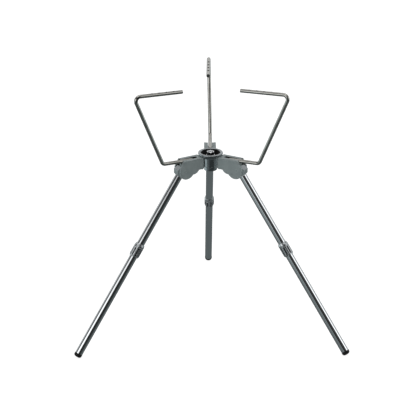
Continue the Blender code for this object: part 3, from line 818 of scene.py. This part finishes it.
def rod_mesh(name, pivot, top_turn, finish):
    """A bent bar on its hinge, with countersunk holes drilled down through its top run."""
    radius = millimetres(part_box("rod_rear"))[1].x
    hinge = Vector((pivot[0], 0, pivot[1]))
    tip = Vector(ROD_TIP)
    top_corner = Vector(ROD_TOP_BEND)
    top_run = (tip - top_corner).normalized()
    sideways = math.tan(math.radians(top_turn))

    def aside(place):
        """How far the turned top run is out of the bar's plane at a place."""
        past_bend = (place - top_corner).dot(top_run) - ROD_BEND_RADIUS
        return sideways * max(0.0, past_bend) if place.y > tip.y - 5 else 0.0

    bar = swept_bar(rod_centre_line(radius), radius, aside)
    cuts = [cylinder(ROD_PIN_RADIUS + PIN_CLEARANCE, (0, -5, 0), (0, 5, 0), 32)]
    run = Vector((top_run.x, 0, top_run.y))
    across = Vector((top_run.y, 0, -top_run.x))
    hole_places = []
    for distance in ROD_HOLES_FROM_HINGE:
        place = tip + top_run * (distance - tip.x) / top_run.x
        middle = Vector((place.x, aside(place), place.y))
        hole_places.append(middle + hinge)
        cuts.append(cylinder(ROD_HOLE_RADIUS, middle - across * 5, middle + across * 5, 28))
        for outward in (across, -across):
            cuts.append(cylinder(ROD_HOLE_RADIUS, middle + outward * (radius - COUNTERSINK_DEPTH),
                                 middle + outward * (radius + 0.5), 28, ROD_HOLE_RADIUS + 1.4))
    for bm in (bar, *cuts):
        bmesh.ops.translate(bm, vec=hinge, verts=bm.verts)

    def in_a_hole(at):
        """Whether a face lies in a hole or its countersink, under the bar's own surface."""
        for offset in (at - place for place in hole_places):
            from_hole = (offset - across * offset.dot(across)).length
            from_bar = (offset - run * offset.dot(run)).length
            if from_hole < ROD_HOLE_RADIUS + 1.0 and from_bar < radius - 0.1:
                return True
        return False

    # Hole walls and most of each countersink take a near-black painted shade
    return painted(combined(name, bar, removed=cuts), (finish["rod"], finish["drilled"]), in_a_hole)


# ---------------------------------------------------------------- legs

def tube_mesh(name, start_t, end_t, radius):
    wall = radius - TUBE_WALL
    profile = filleted([(wall, -start_t, 0.2), (radius, -start_t, 0.3), (radius, -end_t, 0.3),
                        (wall, -end_t, 0.2)], steps=3)
    return finished_mesh(turned(profile, 72), name)


def collar_mesh(start_t, end_t, radius, tube_radius, finish):
    """A smooth ring with a coned top, a thin groove, lengthwise flutes and a coned bottom. The flute
    valleys get a near-black painted shade.
    """
    lip = tube_radius + 0.25
    nut_bore = 8.1
    flutes_start, flutes_end = start_t + 7.4, end_t - 3.4
    rows = 14
    outside = filleted([
        (lip, -start_t - 2, 0.0), (lip, -start_t, 0.2), (lip + 0.9, -start_t, 0.3),
        (radius, -start_t - 3.6, 1.6), (radius, -start_t - 6.2, 0.3),
        (radius - 0.55, -start_t - 6.6, 0.2), (radius, -start_t - 7.0, 0.2),
        (radius, -start_t - 7.2, 0.0),
    ], closed=False, steps=5)
    flute_rows = [(radius, -(flutes_start + (flutes_end - flutes_start) * i / rows))
                  for i in range(rows + 1)]
    inside = filleted([
        (radius, -flutes_end, 0.0), (radius, -end_t + 3.0, 0.8), (nut_bore + 0.5, -end_t, 0.3),
        (nut_bore, -end_t, 0.15), (nut_bore, -end_t + 12, 0.0), (lip, -end_t + 13, 0.0),
    ], closed=False, steps=4)[1:]
    columns = 12 * FLUTES
    bm = turned([*outside, *flute_rows, *inside], columns)
    fade_length = 1.6
    for vert in bm.verts:
        reach = math.hypot(vert.co.x, vert.co.y)
        t = -vert.co.z
        if reach < radius - 0.3 or not flutes_start - 0.2 < t < flutes_end + 0.6:
            continue
        ease = min(1.0, max(0.0, (t - flutes_start) / fade_length))
        wave = math.cos(FLUTES * math.atan2(vert.co.y, vert.co.x))
        groove = max(0.0, 0.25 - wave) / 1.25
        vert.co.xy *= (reach - FLUTE_DEPTH * groove * math.sin(ease * math.pi / 2)) / reach
    # Faces down in the flute valleys take the near-black painted shade
    flute_zone = (-(flutes_end + 0.6), -(flutes_start + 0.4))
    return painted(
        finished_mesh(bm, "fluted_collar"), (finish["collar"], finish["groove"]),
        lambda at: flute_zone[0] < at.z < flute_zone[1]
        and tube_radius + 0.8 < math.hypot(at.x, at.y) < radius - 0.45 * FLUTE_DEPTH,
    )


def ferrule_meshes(upper_tube, lower_tube):
    """The upper tube's bored ferrule, and the lower tube's with a stud that ends below it."""
    upper = along_leg("upper_ferrule_rear", "rear")
    lower = along_leg("lower_ferrule_rear", "rear")
    plug = upper_tube[2] - TUBE_WALL - 0.3
    flange = upper[2]
    bore = 4.8
    upper_profile = filleted([
        (bore, -upper[0], 0.2), (plug, -upper[0], 0.4), (plug, -upper_tube[1] - 0.3, 0.0),
        (flange, -upper_tube[1] - 0.3, 0.2), (flange, -upper[1], 0.2), (bore, -upper[1], 0.2),
    ], steps=3)
    stud = 4.5
    flange_t = upper[1] + 0.3
    lower_profile = filleted([
        (0.0, -lower[0], 0), (stud, -lower[0], 0.5), (stud, -flange_t, 0.0),
        (flange, -flange_t, 0.3), (flange, -lower_tube[0] + 0.3, 0.3),
        (plug, -lower_tube[0] + 0.3, 0.0), (plug, -lower[1], 0.5), (0.0, -lower[1], 0),
    ], closed=False, steps=3)
    return {
        "upper_ferrule": finished_mesh(turned(upper_profile, 56), "upper_ferrule_turned"),
        "lower_ferrule": finished_mesh(turned(lower_profile, 56, closed=False), "lower_ferrule_turned"),
    }


def foot_mesh(start_t, radius, tube_radius):
    """A pushed-in plug and a rounded tip with a lip and a waist, pressed flat where it meets the floor."""
    visible = FOOT_END_T - FOOT_SHOWS
    plug = tube_radius - TUBE_WALL - 0.1
    profile = filleted([
        (0.0, -start_t, 0), (plug - 0.6, -start_t, 0.2), (plug, -start_t - 1.0, 0.2),
        (plug, -visible, 0.0), (radius, -visible, 0.35), (radius, -visible - 1.1, 0.3),
        (radius - 0.22, -visible - 1.5, 0.3), (radius, -visible - 2.1, 0.3),
        (radius, -FOOT_END_T, 3.8), (0.0, -FOOT_END_T, 0),
    ], closed=False, steps=8)
    bm = turned(profile, 64, closed=False)
    matrix = leg_matrix("rear")
    inverse = matrix.inverted()
    floor_z = cad_box[0].z
    for vert in bm.verts:
        place = matrix @ (vert.co * MM)
        if place.z < floor_z:
            place.z = floor_z
            vert.co = inverse @ place / MM
    return finished_mesh(bm, "rubber_foot")


def arm_meshes(pivots, finish):
    """One mesh for each kind of piece that all three sides share."""
    up = Vector(JOINTS["collar_rear_turn"]["axis"])
    leg_angle = math.acos(up.z / up.length)
    pin_half = millimetres(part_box("leg_pin_rear"))[1].x
    upper = along_leg("upper_tube_rear", "rear")
    lower = along_leg("lower_tube_rear", "rear")
    collar = along_leg("collar_rear", "rear")
    foot = along_leg("foot_cap_rear", "rear")
    tube_radius = upper[2]
    return {
        "bracket": bracket_mesh(pivots, finish),
        "leg_head": leg_head_mesh(pivots, leg_angle, finish),
        "leg_pin": pin_mesh("leg_hinge_pin", LEG_PIN_RADIUS, pin_half, pivots["leg"]),
        "rod_pin": pin_mesh("rod_hinge_pin", ROD_PIN_RADIUS, pin_half, pivots["rod"]),
        "upper_tube": tube_mesh("upper_tube_polished", upper[0], upper[1], tube_radius),
        "lower_tube": tube_mesh("lower_tube_polished", lower[0], lower[1], tube_radius),
        "collar": collar_mesh(*collar, tube_radius, finish),
        **ferrule_meshes(upper, lower),
        "foot_cap": foot_mesh(foot[0], foot[2], tube_radius),
    }


def build_arms(finish):
    """The three arms: bracket, pins, rod and leg, each piece placed by its side."""
    leg_pivot = joint_place("leg_rear_fold") / MM
    rod_pivot = joint_place("rod_rear_fold") / MM
    pivots = {"leg": (leg_pivot.y, leg_pivot.z), "rod": (rod_pivot.y, rod_pivot.z)}
    meshes = arm_meshes(pivots, finish)
    rows = (
        # kind, finish, slot, body, the plane or axis it is drawn on, edge rounding
        ("bracket", "casting", "bracket_casting", "hub", "arm", EDGE_RADIUS),
        ("leg_pin", "pin", "pin_steel", "hub", "arm", 0.0),
        ("rod_pin", "pin", "pin_steel", "hub", "arm", 0.0),
        ("leg_head", "casting", "bracket_casting", "leg", "arm", EDGE_RADIUS),
        ("upper_tube", "tube", "tube_steel", "leg", "leg", 0.0),
        ("upper_ferrule", "fastener", "ferrule_steel", "leg", "leg", 0.0),
        ("collar", "collar", "collar_metal", "collar", "leg", 0.0),
        ("lower_ferrule", "fastener", "ferrule_steel", "leg", "leg", 0.0),
        ("lower_tube", "tube", "tube_steel", "leg", "leg", 0.0),
        ("foot_cap", "rubber", "foot_rubber", "leg", "leg", 0.0),
    )
    low_run = Vector((ROD_LOW_BEND[0], 0, ROD_LOW_BEND[1]))
    hinge = Vector((pivots["rod"][0], 0, pivots["rod"][1])) * MM
    for side in SIDES:
        lean = (Matrix.Rotation(math.radians(ROD_SWING[side]), 4, "Z")
                @ Matrix.Rotation(-math.radians(ROD_LEAN[side]), 4, low_run))
        rod_place = arm_matrix(side) @ Matrix.Translation(hinge) @ lean @ Matrix.Translation(-hinge)
        rod = rod_mesh(f"bent_rod_{side}", pivots["rod"], ROD_TOP_TURN[side], finish)
        piece(f"bent_rod_{side}", rod, finish["rod"], "rod_steel", f"rod_{side}", [f"rod_{side}"],
              rod_place)
        places = {"arm": arm_matrix(side), "leg": leg_matrix(side)}
        for kind, look, slot, body, place, bevel in rows:
            name = f"{meshes[kind].name}_{side}"
            body_name = body if body == "hub" else f"{body}_{side}"
            piece(name, meshes[kind], finish[look], slot, body_name, [f"{kind}_{side}"],
                  places[place], bevel)


# ---------------------------------------------------------------- studio

def build_floor():
    """A wide pale floor. Polished pieces mirror the dim studio below it and not the floor."""
    bm = bmesh.new()
    bmesh.ops.create_circle(bm, cap_ends=True, segments=96, radius=14.0)
    mesh = bpy.data.meshes.new("studio_floor")
    bm.to_mesh(mesh)
    bm.free()
    made, tree, shader = new_material("pale_floor", (0.3, 0.3, 0.3), 0.9, 0.0)
    shader.inputs["Emission Color"].default_value = (1.0, 1.0, 1.0, 1.0)
    shader.inputs["Emission Strength"].default_value = 0.9
    tone = mixed(tree, noise(tree, 3.0, 2.0), (0.30, 0.30, 0.30), (0.32, 0.32, 0.32))
    tree.links.new(tone, shader.inputs["Base Color"])
    mesh.materials.append(made)
    floor = bpy.data.objects.new("studio_floor", mesh)
    bpy.context.scene.collection.objects.link(floor)
    floor.location.z = cad_box[0].z - 0.0002
    floor.visible_glossy = False


def panel(tree, azimuth, elevation, at, half, soft, strength):
    """A soft-edged lit patch of the studio's walls. Angles are in degrees."""
    turn = maths(tree, "SUBTRACT", azimuth, math.radians(at[0]))
    offset = maths(tree, "WRAP", turn, math.pi, -math.pi)
    rise = maths(tree, "SUBTRACT", elevation, math.radians(at[1]))
    shares = []
    for angle, extent, blur in ((offset, half[0], soft[0]), (rise, half[1], soft[1])):
        shares.append(mapped(tree, maths(tree, "ABSOLUTE", angle), math.radians(extent + blur),
                             math.radians(extent - blur), 0.0, 1.0))
    return maths(tree, "MULTIPLY", maths(tree, "MULTIPLY", *shares), strength)


def build_studio():
    """A dim studio with lit panels, seen only in reflections and as light; white to the eye."""
    world = bpy.data.worlds.new("studio")
    bpy.context.scene.world = world
    world.use_nodes = True
    tree = world.node_tree
    tree.nodes.clear()
    place = tree.nodes.new("ShaderNodeTexCoord")
    split = tree.nodes.new("ShaderNodeSeparateXYZ")
    tree.links.new(place.outputs["Generated"], split.inputs["Vector"])
    x, y, z = split.outputs
    azimuth = maths(tree, "ARCTAN2", y, x)
    elevation = maths(tree, "ARCSINE", z)
    horizon = (math.radians(-8), math.radians(8))
    level = mapped(tree, elevation, *horizon, 0.145, 0.05)
    panels = (
        # centre azimuth and elevation, half width and height, softness, strength
        ((90, 90), (180, 34), (5, 8), 1.3),            # ceiling
        ((90, 20), (66, 22), (28, 12), 0.8),           # backdrop behind the tripod
        ((226, 14), (24, 15), (6, 5), 1.6),            # softbox, front left
        ((348, 22), (18, 14), (8, 7), 1.6),            # softbox, front right
        ((168, -15), (38, 12), (30, 6), 0.8),          # low reflector, left
        ((10, -7), (30, 9), (12, 6), 0.8),             # low reflector, right
        ((240, -8), (12, 6), (8, 6), 0.25),            # foot of the left softbox
        ((285, -12), (50, 16), (24, 12), -0.1),        # dark behind the camera
    )
    for at, half, soft, strength in panels:
        level = maths(tree, "ADD", level, panel(tree, azimuth, elevation, at, half, soft, strength))
    light = tree.nodes.new("ShaderNodeBackground")
    tree.links.new(level, light.inputs["Strength"])
    white = tree.nodes.new("ShaderNodeBackground")
    white.inputs["Color"].default_value = (1.0, 1.0, 1.0, 1.0)
    warmth = mapped(tree, elevation, *horizon, 0.0, 1.0)
    tree.links.new(mixed(tree, warmth, (0.86, 0.98, 1.0), (0.98, 0.99, 1.0)), light.inputs["Color"])
    path = tree.nodes.new("ShaderNodeLightPath")
    choice = tree.nodes.new("ShaderNodeMixShader")
    tree.links.new(path.outputs["Is Camera Ray"], choice.inputs["Fac"])
    tree.links.new(light.outputs["Background"], choice.inputs[1])
    tree.links.new(white.outputs["Background"], choice.inputs[2])
    output = tree.nodes.new("ShaderNodeOutputWorld")
    tree.links.new(choice.outputs["Shader"], output.inputs["Surface"])
    bpy.context.scene.view_settings.view_transform = "Standard"


def build_camera():
    """A long lens from the front, a little to one side."""
    aim = (cad_box[0] + cad_box[1]) / 2
    aim.xy = (0.0, 0.0)
    aim += Vector(CAMERA_AIM_OFFSET)
    azimuth, elevation = math.radians(CAMERA_AZIMUTH), math.radians(CAMERA_ELEVATION)
    back = Vector((
        math.sin(azimuth) * math.cos(elevation), -math.cos(azimuth) * math.cos(elevation),
        math.sin(elevation),
    ))
    data = bpy.data.cameras.new("camera")
    data.sensor_width = 36.0
    data.lens = CAMERA_LENS
    data.clip_end = 100.0
    camera = bpy.data.objects.new("camera", data)
    bpy.context.scene.collection.objects.link(camera)
    camera.location = aim + back * CAMERA_DISTANCE
    turn = (-back).to_track_quat("-Z", "Y").to_matrix().to_4x4()
    roll = Matrix.Rotation(math.radians(CAMERA_ROLL), 4, "Z")
    camera.rotation_mode = "QUATERNION"
    camera.rotation_quaternion = (turn @ roll).to_quaternion()
    bpy.context.scene.camera = camera


build_camera()
build_studio()
build_floor()

plate_colours = (0.55, 0.57, 0.58), (0.46, 0.48, 0.49), (0.75, 0.77, 0.78)
# Near-black colours of the painted shade in the collars' flute valleys
groove_shade_colours = (0.07, 0.075, 0.08), (0.05, 0.055, 0.06), (0.10, 0.11, 0.11)
finishes = {
    "tube": tube_material(),
    "rod": rod_material(),
    "hub": hub_material(),
    "casting": casting_material("grey_casting"),
    # Near-black painted shade on the inner walls of the brackets' slots and cavities
    "inside": rubber_and_shade_material("bracket_inside_painted_shade"),
    "collar": collar_plating_and_shade_material("collar_plating", *plate_colours),
    # Near-black painted shade for the collars' flute valleys
    "groove": collar_plating_and_shade_material("collar_groove_painted_shade", *groove_shade_colours),
    "fastener": fastener_material("plated_fastener", (0.72, 0.73, 0.74), (0.58, 0.59, 0.60)),
    "pin": casting_material("pin_end"),
    # Also on the leg heads' ledge, where it is a painted highlight
    "rim": fastener_material("bright_rim", (0.36, 0.38, 0.39), (0.30, 0.32, 0.33)),
    # Near-black painted shade for the rods' hole walls and countersinks
    "drilled": hole_shade_material(),
    "rubber": rubber_and_shade_material("foot_rubber"),
    "liner": liner_material(),
}
build_hub(finishes)
build_arms(finishes)
